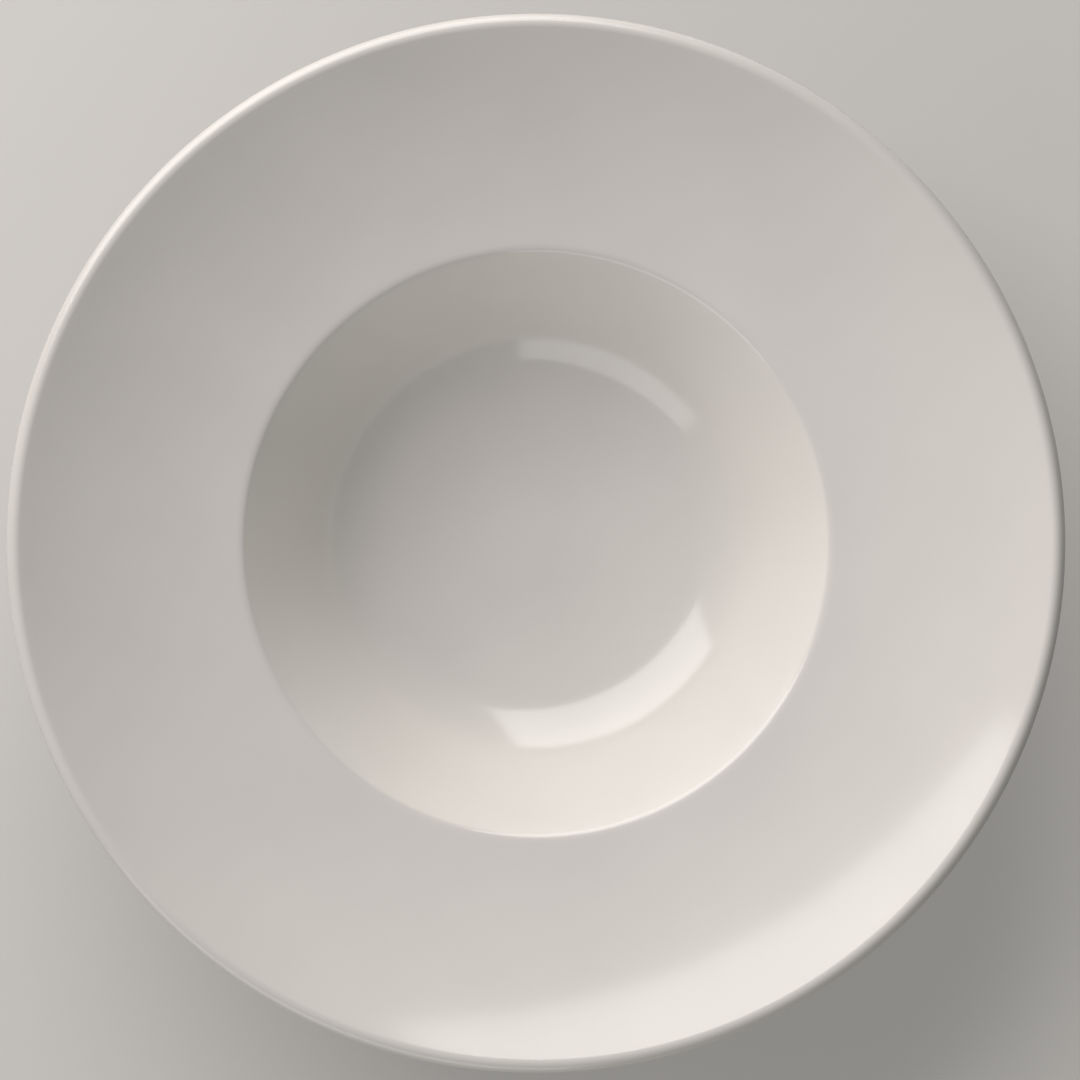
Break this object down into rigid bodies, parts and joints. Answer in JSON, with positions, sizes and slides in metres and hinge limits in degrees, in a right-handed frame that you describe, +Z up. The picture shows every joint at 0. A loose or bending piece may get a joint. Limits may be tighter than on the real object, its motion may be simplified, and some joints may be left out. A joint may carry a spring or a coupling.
{
  "type": "pasta plate",
  "caption": "Round wide-rim pasta plate in glazed porcelain: a deep well with a gently dished floor inside a rising rim with a rounded lip, standing on a bare foot ring.",
  "frame": {"origin": "centre of the circle on which the foot ring stands, on the table's surface", "axes": "+Z up along the plate's axis of turning; the plate is round, so +X and +Y are any two level directions"},
  "size_m": [0.28, 0.28, 0.0635],
  "materials": {
    "bare_porcelain": "unglazed fired porcelain, matt and finely gritty, seen on the wiped standing edge of the foot ring",
    "white_glaze": "warm white gloss glaze, smooth, plain and without decoration"
  },
  "bodies": {
    "root": {"porcelain_body": "bare_porcelain", "main_glaze": "white_glaze", "recess_glaze": "white_glaze"}
  },
  "joints": []
}
